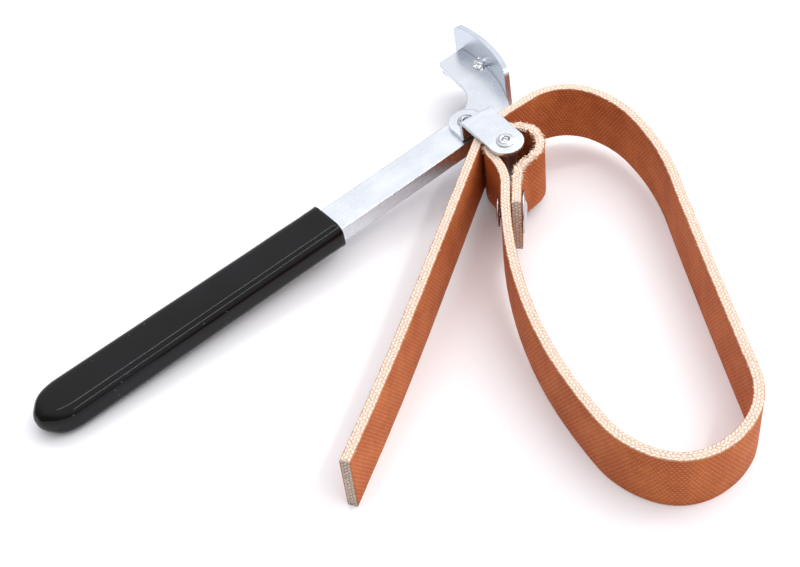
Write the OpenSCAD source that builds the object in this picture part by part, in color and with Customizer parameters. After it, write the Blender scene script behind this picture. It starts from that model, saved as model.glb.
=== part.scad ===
// Strap wrench for oil filters: a pressed steel channel handle with a hooked head,
// a swinging link that carries one end of a flat belt, and the belt's free tail.
// Millimetres, +Z up. The belt stands on its lower edge and the handle lies nearly flat.

/* [Part] */
// Which sub-part to draw

/* [Handle] */
// Width of the channel across its flanges' edges
channel_width = 14.5; // [12:0.5:18]
// Height of the channel over both flanges
channel_height = 6.8; // [6:0.2:10]
// Thickness of the pressed steel
sheet = 1.5; // [1:0.1:2.5]
// Length from the pivot to the hidden end inside the grip
channel_length = 188; // [150:1:220]
// Radius of the hook's outer edge
hook_radius = 67; // [55:1:80]
// Radius of the hook's inner hollow
hollow_radius = 16; // [12:1:22]
// How far the hook reaches to the side of the pivot
hook_reach = 38; // [30:1:45]

/* [Foot plate] */
// Thickness of the curved plate welded to the hook
foot_sheet = 2.3; // [1.5:0.1:3]
// Height of the plate at the end near the link
foot_height = 32; // [26:1:36]
// Height of the plate at its tip
foot_tip_height = 29; // [22:1:34]

/* [Grip] */
// Length of the dipped grip
grip_length = 135; // [100:1:150]
// Width of the grip at its open end
grip_mouth_width = 19.6; // [17:0.2:22]
// Width of the grip near its closed end
grip_width = 20.8; // [18:0.2:26]
// Thickness of the grip, top to bottom
grip_height = 12.4; // [11:0.2:16]

/* [Link] */
// Distance between the pivot and the strap pin
link_length = 29; // [24:0.5:36]
// Width of each link plate
link_width = 14.4; // [12:0.2:18]
// Thickness of each link plate
link_sheet = 1.6; // [1:0.1:2.5]
// Clear height between the two link plates
link_gap = 26.4; // [25.6:0.1:30]
// How far the link is swung back at rest, in degrees
link_rest = 8; // [0:1:14]

/* [Strap] */
// Width of the belt
strap_width = 25; // [20:1:30]
// Thickness of the belt
strap_sheet = 3.8; // [3:0.1:5]

/* [Pose] */
// Height of the handle's middle plane at the pivot
pivot_height = 18; // [16:0.1:20]
// Lean of the handle, grip end down, in degrees
lean = 3.3; // [0:0.1:6]
// Turn of the handle about the pivot, in degrees
yaw = -1; // [-2:0.1:2]

/* [Hidden] */
$fn = 64;

// The pivot seen from above, with the outline's middle at the origin
pivot_x = 80.2;
pivot_y = 70.7;

half_height = channel_height / 2;
web_face = -channel_width / 2 - 1.2;
far_edge = web_face + channel_width;
hook_centre = [-36, 33];
running_gap = 0.05;
overlap = 0.01;

// Grip
grip_mouth = -73;
grip_mouth_shift = -0.3;
grip_tip_shift = 1;
grip_edge = 4.4;
grip_end_reach = 15;
ring_steps = 6;

// Rivets
pivot_radius = 2.4;
pivot_head_radius = 3.7;
pin_radius = 2.6;
pin_head_radius = 3.8;
spacer_radius = 4;
rivet_head_height = 1.3;
belt_rivet_radius = 2.2;
belt_head_radius = 8.5;
belt_washer_radius = 6;

// The belt as arcs: [length, turn in degrees]. The first ones are the free tail.
tail_start = [-145, -99.4, 30];
tail_pieces = [[158, 2], [8, -16]];
loop_pieces = [[8, -17], [17, 0], [27, -71], [21, -29], [38, -22], [97, 1],
               [19, -37], [21, -37], [19, -50], [22, -35], [28, -7], [54, -17],
               [33, -10], [18, 35], [15, -75], [5, -20], [14, -90],
               [17, -77], [12, 47], [14, 0]];
seam_gap = 0.3;
belt_lift = pivot_height - 0.2 - strap_width / 2;
lap_hole_from_end = 8;
washer_seat = strap_sheet * 1.5 + 1.25;
head_stand_off = 0.2;

// Where an arc ends: start pose is [x, y, heading]
function arc_chord(long, turn) =
    turn == 0 ? long : long * sin(turn / 2) / (turn / 2 * PI / 180);
function after(pose, long, turn) =
    let (chord = arc_chord(long, turn), way = pose[2] + turn / 2)
    [pose[0] + chord * cos(way), pose[1] + chord * sin(way), pose[2] + turn];
function chain(pose, pieces, k) =
    k == 0 ? pose : let (p = chain(pose, pieces, k - 1))
    after(p, pieces[k - 1][0], pieces[k - 1][1]);
function total(pieces, k) = k == 0 ? 0 : pieces[k - 1][0] + total(pieces, k - 1);
function steps(piece) = max(1, ceil(abs(piece[1]) / 5), ceil(piece[0] / 16));

// Stations along the belt: [x, y, heading, distance from the first one]
function stations(pose, pieces, s0 = 0) = [
    for (k = [0 : len(pieces) - 1])
        let (p = chain(pose, pieces, k), s = s0 + total(pieces, k))
        let (n = steps(pieces[k]), last = k == len(pieces) - 1)
        for (i = [0 : last ? n : n - 1])
            let (q = after(p, pieces[k][0] * i / n, pieces[k][1] * i / n))
            [q[0], q[1], q[2], s + pieces[k][0] * i / n]];

function smooth(t) = let (u = min(1, max(0, t))) u * u * (3 - 2 * u);

// Points of an arc in the plane
function arc(cx, cy, r, from, to, n = 8) = [
    for (i = [0 : n])
        let (a = from + (to - from) * i / n)
        [cx + r * cos(a), cy + r * sin(a)]];

// Frame of the pivot: its axis along Z, the handle's middle plane at z = 0
module in_pivot() {
    translate([pivot_x, pivot_y, pivot_height])
        rotate([0, -lean, 0])
            children();
}

// Frame of the handle: +X towards the head
module in_handle() {
    in_pivot()
        rotate([0, 0, yaw])
            children();
}

// Frame of the link: +X from the pivot towards the strap pin
module in_link() {
    in_pivot()
        rotate([0, 0, -90 - link_rest])
            children();
}

// Outline of the upper or lower side of the hook
module hook_outline() {
    difference() {
        intersection() {
            translate(hook_centre)
                circle(r = hook_radius, $fn = 180);
            translate([-16, web_face])
                square([60, hook_reach - web_face]);
        }
        translate([-1.5, far_edge + hollow_radius])
            circle(r = hollow_radius, $fn = 96);
        polygon([[-20, far_edge], [-1.5, far_edge], [-1.5, far_edge + 14],
                 [14.3, far_edge + 14.6], [17, hook_reach - 1.6],
                 [18.6, hook_reach + 0.1], [18.6, hook_reach + 4],
                 [-20, hook_reach + 4]]);
    }
}

module flange() {
    linear_extrude(sheet) {
        translate([-channel_length, web_face])
            square([channel_length - 10, channel_width]);
        children();
    }
}

// The lower flange keeps only a band of the hook, behind the foot plate
module lower_hook_outline() {
    band = 12;
    difference() {
        hook_outline();
        intersection() {
            translate(hook_centre)
                circle(r = hook_radius - band, $fn = 180);
            translate([-20, far_edge])
                square([60, 60]);
        }
    }
}

module handle_channel() {
    color([0.78, 0.80, 0.83])
        in_handle()
            difference() {
                union() {
                    translate([0, 0, half_height - sheet])
                        flange()
                            hook_outline();
                    translate([0, 0, -half_height])
                        flange()
                            lower_hook_outline();
                    translate([-channel_length, web_face, -half_height])
                        cube([channel_length + 16.5, sheet, channel_height]);
                }
                translate([0, 0, -half_height - 1])
                    cylinder(r = pivot_radius, h = channel_height + 2);
            }
}

// Face outline of the foot plate: [distance along its chord, height]
module foot_outline() {
    low = foot_height / 2;
    tip = foot_tip_height / 2;
    span = 42.2;
    r = 2.5;
    polygon(concat(
        arc(r, low - r, r, 180, 90),
        arc(span - 3, tip - 3, 3, 88, 0),
        arc(span - 3, -tip + 3, 3, 0, -88),
        arc(r, -low + r, r, -90, -180)));
}

module foot_plate() {
    start_angle = -29;
    end_angle = 7;
    middle = (start_angle + end_angle) / 2;
    color([0.76, 0.79, 0.83])
        in_handle()
            translate(hook_centre)
                intersection() {
                    rotate([0, 0, start_angle - 2])
                        rotate_extrude(angle = end_angle - start_angle + 4, $fn = 180)
                            translate([hook_radius, -foot_height])
                                square([foot_sheet, 2 * foot_height]);
                    rotate([0, 0, middle])
                        translate([hook_radius - 10, -21.1, 0])
                            rotate([90, 0, 90])
                                linear_extrude(20)
                                    foot_outline();
                }
}

module weld_tacks() {
    tack_angle = -8;
    color([0.85, 0.86, 0.88])
        in_handle()
            for (side = [1, -1])
                intersection() {
                    translate([hook_centre[0], hook_centre[1], side > 0 ? half_height : -half_height - 4])
                        cylinder(r = hook_radius, h = 4, $fn = 180);
                    translate([hook_centre[0] + (hook_radius - 0.8) * cos(tack_angle),
                               hook_centre[1] + (hook_radius - 0.8) * sin(tack_angle),
                               side * (half_height + 0.2)])
                        sphere(r = 2.8, $fn = 32);
                }
}

// Share of the full size at a distance from the round end
function swell(d, reach) = d >= reach ? 1 : sqrt(1 - pow(1 - d / reach, 2));

// Ring of a rounded rectangle across the handle, at x
function ring(x, middle, half_width, half_thick, r) = [
    for (q = [0 : 3], i = [0 : ring_steps])
        let (a = 90 * (q + i / ring_steps))
        let (sy = q == 0 || q == 3 ? 1 : -1, sz = q < 2 ? 1 : -1)
        [x, middle + sy * (half_width - r) + r * cos(a), sz * (half_thick - r) + r * sin(a)]];

// Ring of the grip's outside at a distance from its round end
function grip_ring(d) =
    let (t = d / grip_length)
    let (full = grip_width + (grip_mouth_width - grip_width) * t)
    let (w = full / 2 * swell(d, grip_end_reach))
    let (h = grip_height / 2 * swell(d, grip_end_reach * 0.55))
    ring(grip_mouth - grip_length + d, grip_tip_shift + (grip_mouth_shift - grip_tip_shift) * t,
         w, h, min(grip_edge, 0.95 * w, 0.95 * h));

// One closed skin: outside from the round end to the mouth, then back down the pocket
module grip() {
    clear = 0.02;
    lip = 0.7;
    pocket_middle = web_face + channel_width / 2;
    outside = [for (d = [0.1, 0.4, 1, 2, 3.4, 5.2, 7.4, 10, 13, 16, 50, 90]) grip_ring(d)];
    shoulder = ring(grip_mouth - lip, grip_mouth_shift, grip_mouth_width / 2, grip_height / 2,
                    grip_edge);
    mouth = ring(grip_mouth, grip_mouth_shift, grip_mouth_width / 2 - lip, grip_height / 2 - lip,
                 grip_edge - lip);
    pocket = [for (x = [grip_mouth, -channel_length - clear])
        ring(x, pocket_middle, channel_width / 2 + clear, half_height + clear, 0.04)];
    rings = concat(outside, [shoulder, mouth], pocket);
    m = len(mouth);
    n = len(rings);
    points = [for (one = rings, p = one) p];
    faces = concat(
        [[for (i = [0 : m - 1]) i]],
        [[for (i = [0 : m - 1]) m * n - 1 - i]],
        [for (k = [0 : n - 2], i = [0 : m - 1])
            let (a = k * m + i, b = k * m + (i + 1) % m)
            for (t = [[b, a, b + m], [a, a + m, b + m]])
                t]);
    color([0.03, 0.03, 0.03])
        in_handle()
            polyhedron(points = points, faces = faces, convexity = 6);
}

module pivot_rivet() {
    top = half_height + running_gap + link_sheet + running_gap;
    color([0.82, 0.83, 0.85])
        in_handle() {
            difference() {
                union() {
                    cylinder(r = pivot_radius, h = 2 * top, center = true);
                    for (side = [1, -1])
                        translate([0, 0, side > 0 ? top : -top - rivet_head_height])
                            cylinder(r = pivot_head_radius, h = rivet_head_height);
                }
                for (side = [1, -1])
                    translate([0, 0, side > 0 ? top - 0.6 : -top - rivet_head_height - 1])
                        cylinder(r = 1.3, h = rivet_head_height + 1.6);
            }
        }
}

// Side profile of a link plate: ear on the handle, wall, plate over the belt
module link_profile() {
    low = half_height + running_gap;
    high = link_gap / 2 + link_sheet;
    wall = 8.6;
    big = link_sheet + 0.8;
    polygon(concat(
        [[-8, low]],
        arc(wall - big, low + big, big, -90, 0),
        arc(wall + 0.8, high - big, 0.8, 180, 90),
        [[link_length + 8, link_gap / 2], [link_length + 8, high]],
        arc(wall + 0.8, high - big, big, 90, 180),
        arc(wall - big, low + big, 0.8, 0, -90),
        [[-8, low + link_sheet]]));
}

module link_outline() {
    half = link_width / 2;
    difference() {
        union() {
            circle(r = half + 0.2, $fn = 72);
            translate([0, -half])
                square([link_length, link_width]);
            translate([link_length, 0])
                circle(r = half, $fn = 72);
        }
        circle(r = pivot_radius + running_gap);
        translate([link_length, 0])
            circle(r = pin_radius);
    }
}

module link_plate() {
    intersection() {
        rotate([90, 0, 0])
            translate([0, 0, -10])
                linear_extrude(20)
                    link_profile();
        linear_extrude(link_gap)
            link_outline();
    }
}

module link_upper() {
    color([0.80, 0.82, 0.85])
        in_link()
            link_plate();
}

module link_lower() {
    color([0.80, 0.82, 0.85])
        in_link()
            mirror([0, 0, 1])
                link_plate();
}

module strap_pin() {
    top = link_gap / 2 + link_sheet;
    color([0.82, 0.83, 0.85])
        in_link()
            translate([link_length, 0, 0])
                difference() {
                    union() {
                        cylinder(r = pin_radius, h = 2 * top, center = true);
                        for (side = [1, -1])
                            translate([0, 0, side > 0 ? top : -top - rivet_head_height])
                                cylinder(r = pin_head_radius, h = rivet_head_height);
                    }
                    for (side = [1, -1])
                        translate([0, 0, side > 0 ? top - 0.8 : -top - rivet_head_height - 1])
                            cylinder(r = 1.6, h = rivet_head_height + 1.8);
                }
}

module strap_pin_spacer() {
    color([0.70, 0.71, 0.73])
        in_link()
            translate([link_length, 0, 0])
                difference() {
                    cylinder(r = spacer_radius, h = link_gap, center = true);
                    cylinder(r = pin_radius, h = link_gap + 2, center = true);
                }
}

// Belt standing on edge along the stations, its lower edge following low(s)
module belt(list, low) {
    n = len(list);
    half = strap_sheet / 2;
    points = [
        for (k = [0 : n - 1])
            let (p = list[k], side = [-sin(p[2]), cos(p[2])])
            for (c = [[-1, 0], [1, 0], [1, 1], [-1, 1]])
                [p[0] + pivot_x + c[0] * half * side[0],
                 p[1] + pivot_y + c[0] * half * side[1],
                 low[k] + c[1] * strap_width]];
    faces = concat(
        [[3, 2, 1, 0]],
        [[4 * n - 4, 4 * n - 3, 4 * n - 2, 4 * n - 1]],
        [for (k = [0 : n - 2], c = [0 : 3])
            let (a = 4 * k + c, b = 4 * k + (c + 1) % 4)
            [a, b, b + 4, a + 4]]);
    polyhedron(points = points, faces = faces, convexity = 12);
}

tail_pose = chain(tail_start, tail_pieces, len(tail_pieces));
loop_pose = after(tail_pose, seam_gap, 0);
loop_length = total(loop_pieces, len(loop_pieces));
tail_length = total(tail_pieces, len(tail_pieces));
lap_pose = after(chain(loop_pose, loop_pieces, len(loop_pieces)), -lap_hole_from_end, 0);

module strap_loop() {
    list = stations(loop_pose, loop_pieces);
    low = [for (p = list)
        belt_lift * max(1 - smooth((p[3] - 22) / 110), smooth((p[3] - loop_length + 190) / 100))];
    color([0.72, 0.36, 0.16])
        difference() {
            belt(list, low);
            at_lap()
                cylinder(r = belt_rivet_radius, h = 20, center = true);
        }
}

module strap_tail() {
    list = stations(tail_start, tail_pieces);
    low = [for (p = list) belt_lift * smooth((p[3] - tail_length + 140) / 130)];
    color([0.72, 0.36, 0.16])
        belt(list, low);
}

// Frame of the belt rivet: +Z out of the belt's lapped outer face
module at_lap() {
    translate([lap_pose[0] + pivot_x, lap_pose[1] + pivot_y, pivot_height - 0.2])
        rotate([0, 0, lap_pose[2]])
            rotate([-90, 0, 0])
                children();
}

module strap_rivet() {
    outer = strap_sheet / 2 + head_stand_off;
    color([0.80, 0.81, 0.83])
        at_lap()
            difference() {
                union() {
                    translate([0, 0, outer])
                        cylinder(r = belt_head_radius, h = 0.9);
                    translate([0, 0, outer + 0.9 - overlap])
                        cylinder(r1 = 4.6, r2 = 3.6, h = 0.8);
                    translate([0, 0, -washer_seat])
                        cylinder(r = belt_rivet_radius, h = washer_seat + outer + overlap);
                }
                translate([0, 0, outer + 0.2])
                    cylinder(r = 1.9, h = 4);
            }
}

module strap_rivet_washer() {
    color([0.80, 0.81, 0.83])
        at_lap()
            translate([0, 0, -washer_seat - 1])
                difference() {
                    cylinder(r = belt_washer_radius, h = 1);
                    translate([0, 0, -1])
                        cylinder(r = belt_rivet_radius, h = 3);
                }
}

handle_channel();
foot_plate();
weld_tacks();
grip();
pivot_rivet();
link_upper();
link_lower();
strap_pin();
strap_pin_spacer();
strap_loop();
strap_tail();
strap_rivet();
strap_rivet_washer();
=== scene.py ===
import math
import random

import bmesh
import bpy
from mathutils import Matrix, Vector, noise


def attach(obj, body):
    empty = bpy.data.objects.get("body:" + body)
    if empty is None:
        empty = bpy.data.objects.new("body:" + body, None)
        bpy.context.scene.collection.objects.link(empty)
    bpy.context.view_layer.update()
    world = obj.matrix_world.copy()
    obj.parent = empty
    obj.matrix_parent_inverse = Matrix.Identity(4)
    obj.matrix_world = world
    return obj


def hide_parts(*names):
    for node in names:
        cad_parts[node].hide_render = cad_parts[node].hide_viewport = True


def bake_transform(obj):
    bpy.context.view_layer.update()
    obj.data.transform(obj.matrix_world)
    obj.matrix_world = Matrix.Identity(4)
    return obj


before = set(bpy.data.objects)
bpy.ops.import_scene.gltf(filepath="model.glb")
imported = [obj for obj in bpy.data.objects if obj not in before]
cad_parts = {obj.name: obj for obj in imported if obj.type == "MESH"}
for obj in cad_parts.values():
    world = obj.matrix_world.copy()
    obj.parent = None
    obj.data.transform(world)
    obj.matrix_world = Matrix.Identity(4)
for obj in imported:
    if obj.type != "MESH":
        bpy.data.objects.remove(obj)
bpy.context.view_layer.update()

random.seed(7)
MM = 0.001

# sizes in millimetres, the same as the part's source
PIVOT = (80.2, 70.7, 18.0)
LEAN, YAW, LINK_REST = 3.3, -1.0, 8.0
BELT_HEIGHT, BELT_SHEET = 25.0, 3.8
BELT_DROP = 0.2
BELT_LIFT = PIVOT[2] - BELT_DROP - BELT_HEIGHT / 2
LINK_LENGTH = 29.0
LAP_HOLE_FROM_END = 8.0
GRIP_LENGTH, GRIP_WIDTH, GRIP_HEIGHT = 135.0, 20.8, 12.4
GRIP_MOUTH, GRIP_EDGE, GRIP_END_REACH = -73.0, 4.4, 15.0
HOOK_CENTRE = (-36, 33)

# the belt's middle line as arcs: [length, turn in degrees]; the loop starts with the seam's gap
TAIL_START = (-145.0, -99.4, 30.0)
TAIL_ARCS = [[158, 2], [8, -16]]
LOOP_ARCS = [[8.3, -17], [17, 0], [27, -71], [21, -29], [38, -22], [97, 1],
             [19, -37], [21, -37], [19, -50], [22, -35], [28, -7], [54, -17],
             [33, -10], [18, 35], [15, -75], [5, -20], [14, -90],
             [17, -77], [12, 47], [14, 0]]
LOOP_LENGTH = 499.3
TAIL_LENGTH = 166.0
STATION_PITCH = 1.2
EYE_START, EYE_END = 425, 480

# the belt's own map: millimetres are stored divided by this
MAP_SCALE = 100.0
FACE_SLOT, EDGE_SLOT, END_SLOT = 0, 1, 2


# ---------- frames ----------
def turn(axis, degrees):
    return Matrix.Rotation(math.radians(degrees), 4, axis)


IN_PIVOT = Matrix.Translation(Vector(PIVOT) * MM) @ turn("Y", -LEAN)
IN_HANDLE = IN_PIVOT @ turn("Z", YAW)
IN_LINK = IN_PIVOT @ turn("Z", -90 - LINK_REST)


# ---------- the belt's path ----------
def after(pose, length, angle):
    """The pose (x, y, heading) at the end of an arc."""
    half = math.radians(angle / 2)
    chord = length if angle == 0 else length * math.sin(half) / half
    way = math.radians(pose[2] + angle / 2)
    return (pose[0] + chord * math.cos(way), pose[1] + chord * math.sin(way), pose[2] + angle)


def walk(pose, arcs, pitch):
    """Stations (x, y, heading, distance) about pitch apart."""
    out, gone = [(*pose, 0.0)], 0.0
    for length, angle in arcs:
        count = max(2, math.ceil(length / pitch))
        for i in range(1, count + 1):
            part = i / count
            out.append((*after(pose, length * part, angle * part), gone + length * part))
        pose, gone = after(pose, length, angle), gone + length
    return out


def smooth(t):
    """Eases from 0 to 1 as t goes from 0 to 1."""
    u = min(1.0, max(0.0, t))
    return u * u * (3 - 2 * u)


SEAM = TAIL_START
for tail_arc in TAIL_ARCS:
    SEAM = after(SEAM, *tail_arc)


def loop_low(s):
    """Height of the belt's lower edge: on the floor far out, at the link's height near both ends."""
    return BELT_LIFT * max(1 - smooth((s - 22) / 110), smooth((s - LOOP_LENGTH + 190) / 100))


def tail_low(s):
    """The same for the tail, which starts on the floor."""
    return BELT_LIFT * smooth((s - TAIL_LENGTH + 140) / 130)


# ---------- node helpers ----------
def add(tree, kind, values=None, **props):
    """A new shader node, with its inputs set or linked."""
    made = tree.nodes.new("ShaderNode" + kind)
    for key, value in props.items():
        setattr(made, key, value)
    for key, value in (values or {}).items():
        if isinstance(value, bpy.types.NodeSocket):
            tree.links.new(value, made.inputs[key])
        else:
            made.inputs[key].default_value = value
    return made


def maths(tree, operation, *values):
    return add(tree, "Math", dict(enumerate(values)), operation=operation).outputs[0]


def mix(tree, factor, a, b):
    return add(tree, "Mix", {0: factor, 6: a, 7: b}, data_type="RGBA").outputs[2]


def ramp(tree, value, low, high, to_low=0.0, to_high=1.0):
    """Maps low..high smoothly to to_low..to_high."""
    values = {0: value, 1: low, 2: high, 3: to_low, 4: to_high}
    return add(tree, "MapRange", values, interpolation_type="SMOOTHSTEP").outputs[0]


def grain(tree, vector, scale, detail=3.0, rough=0.55):
    values = {"Vector": vector, "Scale": scale, "Detail": detail, "Roughness": rough}
    return add(tree, "TexNoise", values).outputs[0]


def bumped(tree, height, distance, strength=1.0, normal=None):
    values = {"Height": height, "Distance": distance, "Strength": strength}
    if normal is not None:
        values["Normal"] = normal
    return add(tree, "Bump", values).outputs[0]


def rgb(r, g, b):
    return (r, g, b, 1.0)


def finish(name):
    """A new material, its tree and its main shader."""
    material = bpy.data.materials.new(name)
    material.use_nodes = True
    tree = material.node_tree
    return material, tree, tree.nodes["Principled BSDF"]


def feed(tree, shader, **sockets):
    """Sets or links the main shader's inputs by name."""
    for name, value in sockets.items():
        key = name.replace("_", " ")
        if isinstance(value, bpy.types.NodeSocket):
            tree.links.new(value, shader.inputs[key])
        else:
            shader.inputs[key].default_value = value


# ---------- materials ----------
def steel(name, colour, stain, roughness, edge=0.0005):
    """Zinc plate on rolled steel: fine lengthwise grain, cloudy plating, softened edges."""
    material, tree, shader = finish(name)
    place = add(tree, "TexCoord").outputs["Object"]
    long = add(tree, "Mapping", {"Vector": place, "Scale": (60.0, 900.0, 900.0)}).outputs[0]
    rolled = grain(tree, long, 1.0, 4.0)
    cloud = grain(tree, place, 70.0, 5.0, 0.6)
    fine = grain(tree, place, 1400.0, 2.0)
    wear = grain(tree, place, 240.0, 6.0, 0.7)
    shade = mix(tree, ramp(tree, cloud, 0.35, 0.68), colour, stain)
    shade = mix(tree, ramp(tree, wear, 0.62, 0.76, 0.0, 0.15), shade, rgb(0.90, 0.93, 0.97))
    rough = maths(tree, "ADD", ramp(tree, cloud, 0.3, 0.7, roughness - 0.02, roughness + 0.04),
                  ramp(tree, rolled, 0.3, 0.7, -0.02, 0.02))
    round_edge = add(tree, "Bevel", {"Radius": edge}, samples=4).outputs[0]
    height = maths(tree, "ADD", rolled, maths(tree, "MULTIPLY", fine, 0.5))
    feed(tree, shader, Base_Color=shade, Metallic=1.0, Roughness=rough,
         Normal=bumped(tree, height, 0.00002, 0.15, round_edge))
    return material


def vinyl():
    """Dipped vinyl: glossy black with a faint orange peel and specks of dust."""
    material, tree, shader = finish("grip vinyl")
    place = add(tree, "TexCoord").outputs["Object"]
    peel = grain(tree, place, 160.0, 2.0)
    wave = grain(tree, place, 28.0, 2.0)
    scuff = grain(tree, place, 420.0, 5.0, 0.7)
    dust = add(tree, "TexVoronoi", {"Vector": place, "Scale": 330.0}, feature="F1").outputs[0]
    speck = maths(tree, "MULTIPLY", ramp(tree, dust, 0.05, 0.16, 1.0, 0.0),
                  ramp(tree, grain(tree, place, 90.0), 0.52, 0.60))
    shade = mix(tree, ramp(tree, wave, 0.3, 0.7),
                rgb(0.003, 0.003, 0.003), rgb(0.006, 0.006, 0.007))
    shade = mix(tree, maths(tree, "MULTIPLY", speck, 0.3), shade, rgb(0.20, 0.19, 0.18))
    rough = maths(tree, "ADD", ramp(tree, scuff, 0.35, 0.80, 0.07, 0.13),
                  maths(tree, "MULTIPLY", speck, 0.4))
    height = maths(tree, "ADD", maths(tree, "MULTIPLY", wave, 3.0),
                   maths(tree, "MULTIPLY", peel, 0.4))
    feed(tree, shader, Base_Color=shade, Roughness=rough, Specular_IOR_Level=0.20,
         Normal=bumped(tree, height, 0.00005, 0.22))
    return material


def belt_place(tree):
    """The belt's own coordinates in millimetres: along it, and up or across it."""
    place = add(tree, "UVMap", uv_map="weave").outputs[0]
    split = add(tree, "SeparateXYZ", {0: place})
    return [maths(tree, "MULTIPLY", split.outputs[k], MAP_SCALE) for k in (0, 1)]


def belt_face():
    """Impregnated canvas: rust brown with paler yarn crowns in staggered rows."""
    material, tree, shader = finish("belt face")
    yarn_pitch, row_pitch = 1.55, 1.2
    along, up = belt_place(tree)
    row = maths(tree, "DIVIDE", up, row_pitch)
    shift = maths(tree, "MULTIPLY", maths(tree, "MODULO", maths(tree, "FLOOR", row), 2.0), 0.5)
    cell = maths(tree, "ADD", maths(tree, "DIVIDE", along, yarn_pitch), shift)
    dx = maths(tree, "SUBTRACT", maths(tree, "FRACT", cell), 0.5)
    dy = maths(tree, "SUBTRACT", maths(tree, "FRACT", row), 0.5)
    far = maths(tree, "SQRT", maths(tree, "ADD", maths(tree, "MULTIPLY", dx, dx),
                                    maths(tree, "MULTIPLY", dy, dy)))
    crown = ramp(tree, far, 0.10, 0.36, 1.0, 0.0)
    flat = add(tree, "CombineXYZ", {0: along, 1: up}).outputs[0]
    cloth = grain(tree, flat, 0.9, 4.0, 0.65)
    blotch = grain(tree, flat, 0.07, 4.0, 0.6)
    lint = grain(tree, flat, 2.6, 3.0)
    shade = mix(tree, ramp(tree, blotch, 0.32, 0.68),
                rgb(0.39, 0.082, 0.014), rgb(0.51, 0.130, 0.029))
    shade = mix(tree, ramp(tree, cloth, 0.35, 0.75, 0.0, 0.35), shade, rgb(0.30, 0.052, 0.009))
    pale = maths(tree, "MULTIPLY", crown, ramp(tree, cloth, 0.38, 0.62, 0.15, 0.60))
    shade = mix(tree, pale, shade, rgb(0.86, 0.40, 0.16))
    rim = maths(tree, "ABSOLUTE", maths(tree, "SUBTRACT", up, BELT_HEIGHT / 2))
    rim = ramp(tree, maths(tree, "ADD", rim, maths(tree, "MULTIPLY", cloth, 0.7)), 12.2, 12.8)
    shade = mix(tree, maths(tree, "MULTIPLY", rim, 0.6), shade, rgb(0.85, 0.52, 0.32))
    height = maths(tree, "ADD", crown, maths(tree, "MULTIPLY", lint, 0.5))
    feed(tree, shader, Base_Color=shade, Roughness=ramp(tree, cloth, 0.3, 0.7, 0.62, 0.82),
         Specular_IOR_Level=0.3, Normal=bumped(tree, height, 0.00022, 0.75))
    return material


def belt_cut(name, cream, dip_shade):
    """Cut edge: three plies of off-white cotton seen as slanting yarn ends, rust at the faces; the
    dips between yarn ends and along the ply joints are painted darker, as painted shade.
    """
    material, tree, shader = finish(name)
    plies, yarn_pitch = 3, 1.7
    along, across = belt_place(tree)
    ply = maths(tree, "DIVIDE", maths(tree, "ADD", across, BELT_SHEET / 2), BELT_SHEET / plies)
    way = maths(tree, "SUBTRACT", maths(tree, "MULTIPLY",
                maths(tree, "MODULO", maths(tree, "FLOOR", ply), 2.0), 2.0), 1.0)
    flat = add(tree, "CombineXYZ", {0: along, 1: across}).outputs[0]
    fuzz = grain(tree, flat, 1.7, 4.0, 0.7)
    slant = maths(tree, "MULTIPLY", way, maths(tree, "MULTIPLY", maths(tree, "FRACT", ply), 0.55))
    yarn = maths(tree, "ADD", maths(tree, "DIVIDE", along, yarn_pitch), slant)
    yarn = maths(tree, "FRACT", maths(tree, "ADD", yarn, maths(tree, "MULTIPLY", fuzz, 0.35)))
    valley = maths(tree, "MULTIPLY", maths(tree, "ABSOLUTE", maths(tree, "SUBTRACT", yarn, 0.5)), 2.0)
    seam = maths(tree, "MULTIPLY", maths(tree, "ABSOLUTE",
                 maths(tree, "SUBTRACT", maths(tree, "FRACT", ply), 0.5)), 2.0)
    dip = maths(tree, "MAXIMUM", ramp(tree, valley, 0.55, 0.98), ramp(tree, seam, 0.72, 1.0))
    speck = ramp(tree, grain(tree, flat, 1.5, 3.0, 0.7), 0.54, 0.64)
    shade = mix(tree, ramp(tree, fuzz, 0.3, 0.7), cream, rgb(0.93, 0.82, 0.72))
    # painted shade: the dips between yarn ends and the ply joints take the darker dip colour
    shade = mix(tree, maths(tree, "MULTIPLY", dip, 0.6), shade, dip_shade)
    shade = mix(tree, maths(tree, "MULTIPLY", speck, 0.62), shade, rgb(0.50, 0.19, 0.08))
    rim = maths(tree, "ADD", maths(tree, "ABSOLUTE", across), maths(tree, "MULTIPLY", fuzz, 0.5))
    shade = mix(tree, ramp(tree, rim, 1.72, 2.02, 0.0, 0.8), shade, rgb(0.56, 0.20, 0.07))
    height = maths(tree, "SUBTRACT", maths(tree, "MULTIPLY", fuzz, 0.8), dip)
    feed(tree, shader, Base_Color=shade, Roughness=ramp(tree, fuzz, 0.3, 0.7, 0.8, 0.95),
         Specular_IOR_Level=0.15, Normal=bumped(tree, height, 0.00025, 0.8))
    return material


ZINC = steel("zinc steel", rgb(0.66, 0.69, 0.74), rgb(0.71, 0.74, 0.78), 0.27, 0.0007)
PLATE = steel("plate steel", rgb(0.56, 0.60, 0.66), rgb(0.62, 0.66, 0.72), 0.32, 0.0005)
WELD = steel("weld", rgb(0.62, 0.63, 0.66), rgb(0.86, 0.87, 0.90), 0.15, 0.0002)
RIVET = steel("rivet steel", rgb(0.46, 0.47, 0.50), rgb(0.70, 0.71, 0.74), 0.17, 0.0002)
SPACER = steel("spacer steel", rgb(0.55, 0.56, 0.58), rgb(0.66, 0.67, 0.70), 0.34, 0.0003)
VINYL = vinyl()
FACE = belt_face()
EDGE = belt_cut("belt edge", rgb(0.78, 0.60, 0.47), rgb(0.60, 0.37, 0.25))
# the cut ends: the edge finish in much darker tones, partly for the glue-soaked cut end and partly
# painted shade
END_GLUED_AND_SHADED = belt_cut("belt end", rgb(0.36, 0.26, 0.19), rgb(0.15, 0.085, 0.05))


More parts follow.
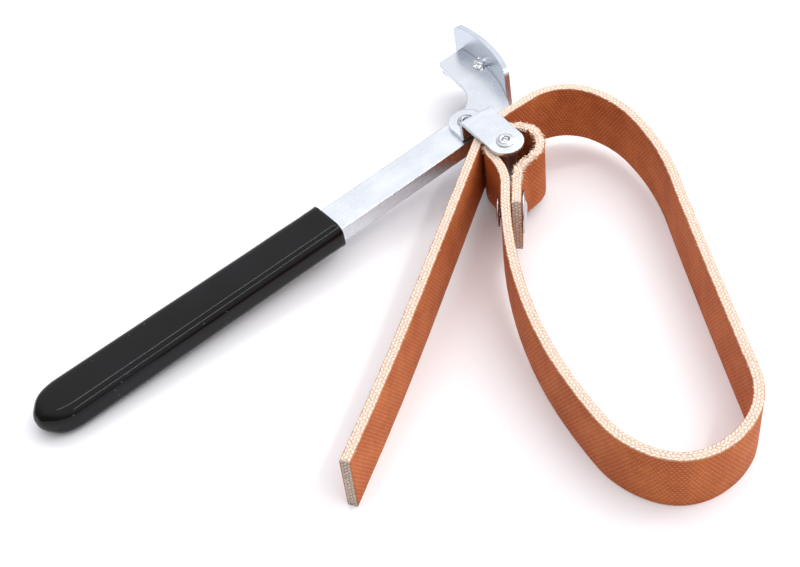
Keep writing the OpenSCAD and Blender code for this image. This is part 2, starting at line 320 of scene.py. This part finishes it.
# ---------- pieces ----------
def place_mesh(name, bm, materials):
    """A smooth-shaded object in the scene, made from a finished bmesh."""
    mesh = bpy.data.meshes.new(name)
    bm.normal_update()
    bm.to_mesh(mesh)
    bm.free()
    for material in materials:
        mesh.materials.append(material)
    mesh.polygons.foreach_set("use_smooth", [True] * len(mesh.polygons))
    piece = bpy.data.objects.new(name, mesh)
    bpy.context.scene.collection.objects.link(piece)
    return piece


def belt_section():
    """Outline across the belt: (across, up, kind of the side that starts here)."""
    half, r = BELT_SHEET / 2, 0.45
    low_row, high_row, inner = 8.0, 17.0, 0.75
    corners = ((half - r, BELT_HEIGHT - r, 0), (-half + r, BELT_HEIGHT - r, 90),
               (-half + r, r, 180), (half - r, r, 270))
    out = [(half, r, "face"), (half, low_row, "face"), (half, high_row, "face")]
    for centre_across, centre_up, first in corners:
        for i in range(5):
            a = math.radians(first + 22.5 * i)
            out.append((centre_across + r * math.cos(a), centre_up + r * math.sin(a), "edge"))
        if first == 0:
            out += [(across, BELT_HEIGHT, "edge") for across in (inner, 0.0, -inner)]
        if first == 90:
            out[-1] = (*out[-1][:2], "face")
            out += [(-half, high_row, "face"), (-half, low_row, "face")]
        if first == 180:
            out += [(across, 0.0, "edge") for across in (-inner, 0.0, inner)]
    return out[:-1]


def belt_point(station, across, up, low):
    """The place of a point of the section at one station, with the lower edge at low."""
    x, y, heading = station[:3]
    h = math.radians(heading)
    return Vector((x + PIVOT[0] - across * math.sin(h),
                   y + PIVOT[1] + across * math.cos(h), low + up)) * MM


def under_link(station):
    """True where the link's plates can pass over the belt's edge."""
    reach = LINK_LENGTH + 11
    return math.hypot(station[0], station[1]) < reach


def thread(bm, layer, root, way, bend, length, width, tint):
    """One loose yarn: a thin tapering three-sided tube that curls."""
    ring_count = 5
    corners = (0, 2.094, 4.189)
    rings = []
    where = root.copy()
    for i in range(ring_count):
        side = way.cross(Vector((0.3, 0.5, 0.8))).normalized()
        other = way.cross(side)
        r = width * (1 - 0.18 * i)
        rings.append([bm.verts.new(where + (side * math.cos(a) + other * math.sin(a)) * r)
                      for a in corners])
        where = where + way * (length / (ring_count - 1))
        way = (way + bend * 0.35).normalized()
    for a, b in zip(rings, rings[1:]):
        for k in range(3):
            side = bm.faces.new((a[k], a[(k + 1) % 3], b[(k + 1) % 3], b[k]))
            side.material_index = EDGE_SLOT
            for corner in side.loops:
                corner[layer].uv = tint


def ragged(station, across, up, rough):
    """A point of the section, moved where a face is uneven or a cut edge is ragged."""
    under_link_room, floor_room = 0.05, 0.02
    spot = Vector((station[3] * 0.7, across * 0.9, up * 0.7))
    if up > BELT_HEIGHT - 0.2 or up < 0.05:
        up += rough * noise.noise(spot * 1.1) * (1 if up > 1 else 0.3)
        across += 0.5 * rough * noise.noise(spot * 1.7 + Vector((9, 3, 1)))
    elif abs(across) > 1.6:
        across += 0.05 * noise.noise(spot * 0.35)
    if under_link(station):
        up = min(up, BELT_HEIGHT + under_link_room)
    return across, max(up, floor_room)


def belt_skin(bm, layer, section, rings, stations):
    """The sides between rings; the map holds the distance along, and the place up or across."""
    count = len(section)
    for k in range(len(stations) - 1):
        s0, s1 = stations[k][3] / MAP_SCALE, stations[k + 1][3] / MAP_SCALE
        for j in range(count):
            n = (j + 1) % count
            made = bm.faces.new((rings[k][j], rings[k][n], rings[k + 1][n], rings[k + 1][j]))
            edge = section[j][2] == "edge"
            made.material_index = EDGE_SLOT if edge else FACE_SLOT
            pick = 0 if edge else 1
            for corner, (s, q) in zip(made.loops, ((s0, j), (s0, n), (s1, n), (s1, j))):
                corner[layer].uv = (s, section[q][pick] / MAP_SCALE)


def belt_cap(bm, layer, section, ring, bare, flip):
    """Closes one end: a bare end shows its cut plies."""
    cap = bm.faces.new(ring[::-1] if flip else ring)
    cap.material_index = END_SLOT if bare else FACE_SLOT
    for corner, (across, up, _) in zip(cap.loops, section[::-1] if flip else section):
        corner[layer].uv = (up / MAP_SCALE, across / MAP_SCALE)


def loose_yarn(bm, layer, station, low, length, thick):
    """One yarn from the top cut edge, pointing outwards, or level where the link can pass."""
    across = random.choice((-1, 1)) * random.uniform(0.9, 1.8)
    root = belt_point(station, across, BELT_HEIGHT - 0.3, low)
    h = math.radians(station[2])
    out = Vector((-math.sin(h), math.cos(h), 0)) * (across / 1.8)
    along = Vector((math.cos(h), math.sin(h), 0)) * random.uniform(-1.2, 1.2)
    way = (out + along + Vector((0, 0, random.uniform(0.1, 0.7)))).normalized()
    bend = Vector([random.uniform(-1, 1) for _ in range(3)])
    if under_link(station):
        root.z -= (thick + 0.05) * MM
        way.z = 0.0
        way.normalize()
        bend.z = -0.3 * abs(bend.z)
    tint = (random.uniform(0, 1), random.uniform(-0.012, 0.012))
    thread(bm, layer, root, way, bend, length * MM, thick * MM, tint)


def make_belt(name, stations, low_of, shag, fray, bare_start, bare_end):
    """Belt swept along its stations, with ragged cut edges and loose yarns."""
    bm = bmesh.new()
    layer = bm.loops.layers.uv.new("weave")
    section = belt_section()
    rings = []
    for station in stations:
        low = low_of(station[3])
        rough = shag(station[3])
        spots = [ragged(station, across, up, rough) for across, up, _ in section]
        rings.append([bm.verts.new(belt_point(station, across, up, low)) for across, up in spots])
    belt_skin(bm, layer, section, rings, stations)
    belt_cap(bm, layer, section, rings[0], bare_start, True)
    belt_cap(bm, layer, section, rings[-1], bare_end, False)
    bmesh.ops.recalc_face_normals(bm, faces=bm.faces)
    for distance, length, thick in fray:
        station = min(stations, key=lambda spot: abs(spot[3] - distance))
        loose_yarn(bm, layer, station, low_of(station[3]), length, thick)
    return place_mesh(name, bm, [FACE, EDGE, END_GLUED_AND_SHADED])


def loop_shag(s):
    """How ragged the cut edge is along the loop: most round the eye."""
    return 0.4 + 1.3 * smooth((s - EYE_START) / 15) * (1 - smooth((s - EYE_END) / 10))


def tail_shag(_):
    """The tail is evenly ragged."""
    return 0.45


def yarns(count, start, stop, lengths, widths):
    """Loose yarns spread along part of a cut edge: (distance, length, thickness)."""
    return [(random.uniform(start, stop), random.uniform(*lengths), random.uniform(*widths))
            for _ in range(count)]


# loose yarns by kind: lengths, thicknesses
HAIRS, TUFTS = ((0.4, 1.1), (0.07, 0.13)), ((0.5, 0.9), (0.2, 0.3))
EYE_HAIRS, EYE_TUFTS = ((0.8, 2.0), (0.07, 0.13)), ((0.9, 1.5), (0.25, 0.42))
loop_fray = yarns(420, 2, 420, *HAIRS) + yarns(110, 2, 420, *TUFTS)
loop_fray += yarns(230, EYE_START, 490, *EYE_HAIRS) + yarns(150, 428, 488, *EYE_TUFTS)
tail_fray = yarns(170, 1, 162, *HAIRS) + yarns(50, 1, 162, *TUFTS)
loop_stations = walk(SEAM, LOOP_ARCS, STATION_PITCH)
tail_stations = walk(TAIL_START, TAIL_ARCS, STATION_PITCH)

belt_loop = make_belt("belt_loop", loop_stations, loop_low, loop_shag, loop_fray, False, True)
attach(belt_loop, "belt")
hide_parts("strap_loop")

belt_tail = make_belt("belt_tail", tail_stations, tail_low, tail_shag, tail_fray, True, False)
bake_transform(belt_tail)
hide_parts("strap_tail")


# grip: dipped skin lofted from its round end to its mouth and back under the lip
def round_end(d, reach):
    """How much of its full size the grip has at d from its round end."""
    return 1.0 if d >= reach else math.sqrt(max(0.0, 1 - (1 - d / reach) ** 2))


def grip_section(d):
    """(x, middle, half width, half thickness, edge radius) at d from the round end."""
    taper, shift, inset = 1.2, 1.3, 0.05
    part = d / GRIP_LENGTH
    w = (GRIP_WIDTH - taper * part) / 2 * round_end(d, GRIP_END_REACH)
    h = GRIP_HEIGHT / 2 * round_end(d, 8.25)
    return GRIP_MOUTH - GRIP_LENGTH + d, 1 - shift * part, w - inset, h - inset, GRIP_EDGE


def grip_mouth():
    """Sections of the rounded lip, then of the inside that turns back along the channel."""
    lip_reach, lip_radius = 0.62, 0.68
    lip = [(GRIP_MOUTH - 0.45 + lip_reach * math.sin(a), -0.3,
            9.1 + lip_radius * math.cos(a), 5.5 + lip_radius * math.cos(a), 4.0)
           for a in (0.2, 0.6, 1.0, 1.3, 1.55)]
    return lip + [(-72.9, -0.7, 8.3, 4.6, 2.2), (-73.0, -1.2, 7.6, 3.8, 0.9),
                  (-73.6, -1.2, 7.36, 3.5, 0.4), (-78.0, -1.2, 7.3, 3.45, 0.3)]


def grip_ring(bm, x, middle, w, h, edge):
    """One rounded rectangle; the dipped skin is a little uneven except near the mouth."""
    steps, edge_share, even_from = 12, 0.96, -80
    r = min(edge, edge_share * w, edge_share * h)
    ring = []
    for q, (sy, sz) in enumerate(((1, 1), (-1, 1), (-1, -1), (1, -1))):
        lift = 0.10 * noise.noise(Vector((x * 0.05, q, 2.0))) - 0.10 if x < even_from else 0
        for i in range(steps + 1):
            a = math.radians(90 * (q + i / steps))
            spot = Vector((x, middle + sy * (w - r) + (r + lift) * math.cos(a),
                           sz * (h - r) + (r + lift) * math.sin(a)))
            ring.append(bm.verts.new(IN_HANDLE @ (spot * MM)))
    return ring


def make_grip():
    tip, end_steps = 0.14, 22
    quarter = [math.pi / 2 * i / end_steps for i in range(end_steps)]
    sections = [grip_section(tip + (GRIP_END_REACH - tip) * (1 - math.cos(a))) for a in quarter]
    sections += [grip_section(GRIP_END_REACH + 2.0 * i) for i in range(60)]
    sections += grip_mouth()
    bm = bmesh.new()
    rings = [grip_ring(bm, *section) for section in sections]
    count = len(rings[0])
    for a, b in zip(rings, rings[1:]):
        for i in range(count):
            n = (i + 1) % count
            bm.faces.new((a[i], b[i], b[n], a[n]))
    bm.faces.new(rings[0])
    bmesh.ops.recalc_face_normals(bm, faces=bm.faces)
    return place_mesh("grip_skin", bm, [VINYL])


grip_skin = make_grip()
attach(grip_skin, "handle")
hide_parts("grip")


# turned pieces
def lathe(name, profile, where, material):
    """Spins (radius, height) points about the local Z axis."""
    segments = 96
    angles = [2 * math.pi * i / segments for i in range(segments)]
    bm = bmesh.new()
    rings = []
    for r, z in profile:
        if r == 0:
            rings.append([bm.verts.new(where @ Vector((0, 0, z * MM)))] * segments)
        else:
            spots = [Vector((r * MM * math.cos(a), r * MM * math.sin(a), z * MM)) for a in angles]
            rings.append([bm.verts.new(where @ spot) for spot in spots])
    for a, b in zip(rings, rings[1:]):
        for i in range(segments):
            n = (i + 1) % segments
            corners = list(dict.fromkeys((a[i], a[n], b[n], b[i])))
            if len(corners) > 2:
                bm.faces.new(corners)
    bmesh.ops.recalc_face_normals(bm, faces=bm.faces)
    return place_mesh(name, bm, [material])


def head_profile(top, hollow, rim):
    """Upper half of a hollow rivet: pit, raised ring, sloping flange."""
    pit = [(0, top - 0.35), (hollow * 0.5, top - 0.42), (hollow * 0.8, top - 0.2)]
    crown = [(hollow, top + 0.45), (hollow + 0.18, top + 1.0), (hollow + 0.45, top + 1.22),
             (hollow + 0.8, top + 1.27), (hollow + 1.1, top + 1.12), (hollow + 1.25, top + 0.84)]
    flange = [(rim - 0.5, top + 0.62), (rim - 0.15, top + 0.46), (rim, top + 0.25), (rim, top + 0.02)]
    return pit + crown + flange


def two_headed(name, top, shank, hollow, rim, where, material):
    """A hollow rivet with the same head at both ends."""
    upper = head_profile(top, hollow, rim) + [(shank, top), (shank, 0)]
    return lathe(name, upper + [(r, -z) for r, z in upper[::-1][1:]], where, material)


pivot_pin = two_headed("pivot_pin", 5.1, 2.4, 1.2, 3.7, IN_HANDLE, RIVET)
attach(pivot_pin, "handle")
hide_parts("pivot_rivet")

AT_PIN = IN_LINK @ Matrix.Translation((LINK_LENGTH * MM, 0, 0))
link_pin = two_headed("link_pin", 14.8, 2.6, 1.45, 3.8, AT_PIN, RIVET)
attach(link_pin, "link")
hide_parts("strap_pin")

# the lap's rivet: its wide head lies on the inside of the loop, its washer on the outside
lap = after(loop_stations[-1][:3], -LAP_HOLE_FROM_END, 0)
lap_spot = Vector((lap[0] + PIVOT[0], lap[1] + PIVOT[1], PIVOT[2] - BELT_DROP))
AT_LAP = Matrix.Translation(lap_spot * MM) @ turn("Z", lap[2]) @ turn("X", -90)
stud_profile = [(0, 2.4), (1.3, 2.35), (1.75, 2.55), (1.95, 3.2), (2.2, 3.6), (2.7, 3.72),
                (3.5, 3.6), (4.5, 3.2), (5.4, 3.02), (7.6, 2.88), (8.2, 2.7), (8.45, 2.4),
                (8.45, 2.12), (2.2, 2.1), (2.2, -6.9), (0, -6.9)]
belt_stud = lathe("belt_stud", stud_profile, AT_LAP, RIVET)
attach(belt_stud, "belt")
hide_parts("strap_rivet")
washer_profile = [(2.2, -6.97), (5.7, -6.97), (6.0, -7.15), (6.0, -7.6), (5.7, -7.9),
                  (3.4, -7.93), (2.6, -7.8), (2.2, -7.55), (2.2, -6.97)]
belt_washer = lathe("belt_washer", washer_profile, AT_LAP, RIVET)
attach(belt_washer, "belt")
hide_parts("strap_rivet_washer")


# weld: splashed lumps on both sides of the hook
def make_weld():
    bm = bmesh.new()
    seam_radius, seam_angle, face_height = 66.2, math.radians(-8), 3.45
    middle = Vector((HOOK_CENTRE[0] + seam_radius * math.cos(seam_angle),
                     HOOK_CENTRE[1] + seam_radius * math.sin(seam_angle), 0))
    # along the handle, across it, size, height
    lumps = ((0, 0, 2.7, 1.6), (-1.7, -1.5, 2.0, 1.1), (1.3, 1.7, 1.9, 1.5), (-0.6, 2.2, 1.4, 0.9),
             (-2.6, 0.6, 1.3, 0.6))
    for side in (1, -1):
        for dx, dy, size, tall in lumps:
            made = bmesh.ops.create_icosphere(bm, subdivisions=4, radius=1.0)["verts"]
            for v in made:
                bulge = 1 + 0.28 * noise.noise(v.co * 1.6 + Vector((dx, dy, side)))
                local = Vector((v.co.x * size, v.co.y * size, v.co.z * tall)) * bulge
                local += Vector((dx, dy, side * face_height)) + middle
                v.co = IN_HANDLE @ (local * MM)
    return place_mesh("weld_lumps", bm, [WELD])


weld_lumps = make_weld()
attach(weld_lumps, "handle")
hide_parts("weld_tacks")

# finishes of the CAD nodes that stay
KEPT_NODES = {"handle_channel": ZINC, "foot_plate": PLATE, "link_upper": ZINC,
              "link_lower": ZINC, "strap_pin_spacer": SPACER}
for node_name, material_of_node in KEPT_NODES.items():
    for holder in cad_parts[node_name].material_slots:
        holder.material = material_of_node

# ---------- stage ----------
def make_camera():
    data = bpy.data.cameras.new("camera")
    data.sensor_width = 36.0
    data.lens = 63.0
    data.clip_start = 0.01
    data.clip_end = 20.0
    camera = bpy.data.objects.new("camera", data)
    camera.location = (-0.20222, -0.26997, 0.3931)
    camera.rotation_euler = [math.radians(angle) for angle in (43.541, 5.321, -40.574)]
    bpy.context.scene.collection.objects.link(camera)
    bpy.context.scene.camera = camera
    bpy.context.scene.view_settings.view_transform = "Standard"


def paper():
    material, tree, shader = finish("paper")
    place = add(tree, "TexCoord").outputs["Object"]
    shade = mix(tree, grain(tree, place, 900.0), rgb(0.94, 0.93, 0.95), rgb(0.96, 0.95, 0.97))
    feed(tree, shader, Roughness=0.9, Specular_IOR_Level=0.1, Base_Color=shade)
    return material


def make_floor():
    half = 6
    corners = [(-half, -half, 0), (half, -half, 0), (half, half, 0), (-half, half, 0)]
    mesh = bpy.data.meshes.new("floor")
    mesh.from_pydata(corners, [], [(0, 1, 2, 3)])
    mesh.materials.append(paper())
    made = bpy.data.objects.new("floor", mesh)
    bpy.context.scene.collection.objects.link(made)
    return made


def make_sky():
    """Soft surroundings, brightest high on one side."""
    world = bpy.data.worlds.new("world")
    bpy.context.scene.world = world
    world.use_nodes = True
    sky = world.node_tree
    toward = add(sky, "TexCoord").outputs["Generated"]
    bright_side = {0: toward, 1: (0.50, 0.10, 0.86)}
    facing = add(sky, "VectorMath", bright_side, operation="DOT_PRODUCT").outputs[1]
    glow = mix(sky, ramp(sky, facing, -0.25, 0.62), rgb(0.24, 0.24, 0.26), rgb(1.12, 1.13, 1.15))
    sky.links.new(glow, sky.nodes["Background"].inputs["Color"])


def softbox(name, where, size, power):
    """A rectangular lamp, size in metres and power in watts, aimed at the frame's origin."""
    light = bpy.data.lights.new(name, "AREA")
    light.shape = "RECTANGLE"
    light.size, light.size_y = size
    light.energy = power
    holder = bpy.data.objects.new(name, light)
    holder.location = where
    holder.rotation_euler = (-Vector(where)).to_track_quat("-Z", "Y").to_euler()
    bpy.context.scene.collection.objects.link(holder)


make_camera()
floor = make_floor()
make_sky()
softbox("overhead", (0.33, 0.61, 1.36), (1.2, 0.06), 3.8)
softbox("front", (0.33, -0.66, 1.27), (1.2, 0.05), 3.6)
softbox("side", (1.5, -0.25, 1.2), (1.4, 1.2), 14.0)
